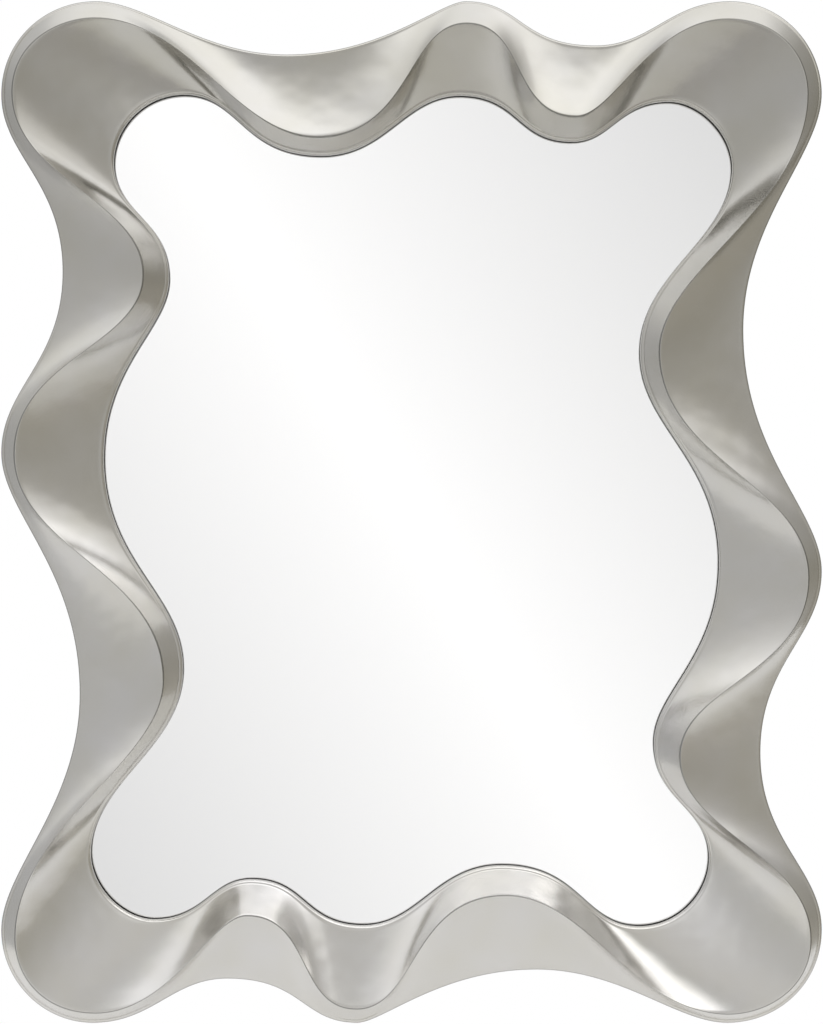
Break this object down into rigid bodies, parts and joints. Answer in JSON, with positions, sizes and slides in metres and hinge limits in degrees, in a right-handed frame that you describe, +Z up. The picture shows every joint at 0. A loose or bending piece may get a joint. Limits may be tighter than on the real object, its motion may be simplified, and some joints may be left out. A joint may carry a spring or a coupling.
{
  "type": "framed wall mirror",
  "caption": "Upright wall mirror with a sculpted, wavy, twisting silver-leaf frame, wavy-cut glass, screwed back panel and swinging ring hangers.",
  "frame": {"origin": "middle of the mirror, on the plane of the wall that the bumpers rest on", "axes": "+Z up as it hangs upright, +X to the viewer's right, -Y out of the wall towards the viewer"},
  "size_m": [0.816, 0.06, 1.016],
  "materials": {
    "leafed_casting": "cast resin with a satin champagne-silver leaf",
    "silvered_glass": "flat silvered float glass",
    "black_tape": "matt black foam tape",
    "white_foam": "closed-cell foam sheet",
    "hardboard": "smooth brown hardboard",
    "zinc_screws": "bright zinc-plated steel",
    "fibreboard": "raw medium-density fibreboard",
    "zinc_strap": "zinc-plated pressed steel",
    "ring_wire": "zinc-plated steel wire",
    "bumper_rubber": "matt black rubber"
  },
  "bodies": {
    "mirror": {"frame_shell": "leafed_casting", "mirror_glass": "silvered_glass", "bedding_tape": "black_tape", "foam_sheet": "white_foam", "back_panel": "hardboard", "panel_screws": "zinc_screws", "base_top_rail": "fibreboard", "base_right_stile": "fibreboard", "base_bottom_rail": "fibreboard", "base_left_stile": "fibreboard", "left_strap": "zinc_strap", "right_strap": "zinc_strap", "top_strap": "zinc_strap", "bottom_strap": "zinc_strap", "strap_screws": "zinc_screws", "top_left_bumper": "bumper_rubber", "top_right_bumper": "bumper_rubber", "bottom_right_bumper": "bumper_rubber", "bottom_left_bumper": "bumper_rubber"},
    "left_hanger_ring": {"left_ring": "ring_wire"},
    "right_hanger_ring": {"right_ring": "ring_wire"},
    "top_hanger_ring": {"top_ring": "ring_wire"},
    "bottom_hanger_ring": {"bottom_ring": "ring_wire"}
  },
  "joints": [
    {"name": "left_ring_swing", "type": "hinge", "parent": "mirror", "child": "left_hanger_ring", "pos_m": [-0.28, -0.0034, 0.208], "axis": [0, 0, 1], "range_deg": [0, 180]},
    {"name": "right_ring_swing", "type": "hinge", "parent": "mirror", "child": "right_hanger_ring", "pos_m": [0.28, -0.0034, 0.208], "axis": [0, 0, -1], "range_deg": [0, 180]},
    {"name": "top_ring_swing", "type": "hinge", "parent": "mirror", "child": "top_hanger_ring", "pos_m": [-0.12, -0.0034, 0.392], "axis": [1, 0, 0], "range_deg": [0, 180]},
    {"name": "bottom_ring_swing", "type": "hinge", "parent": "mirror", "child": "bottom_hanger_ring", "pos_m": [-0.12, -0.0034, -0.422], "axis": [1, 0, 0], "range_deg": [0, 180]}
  ]
}
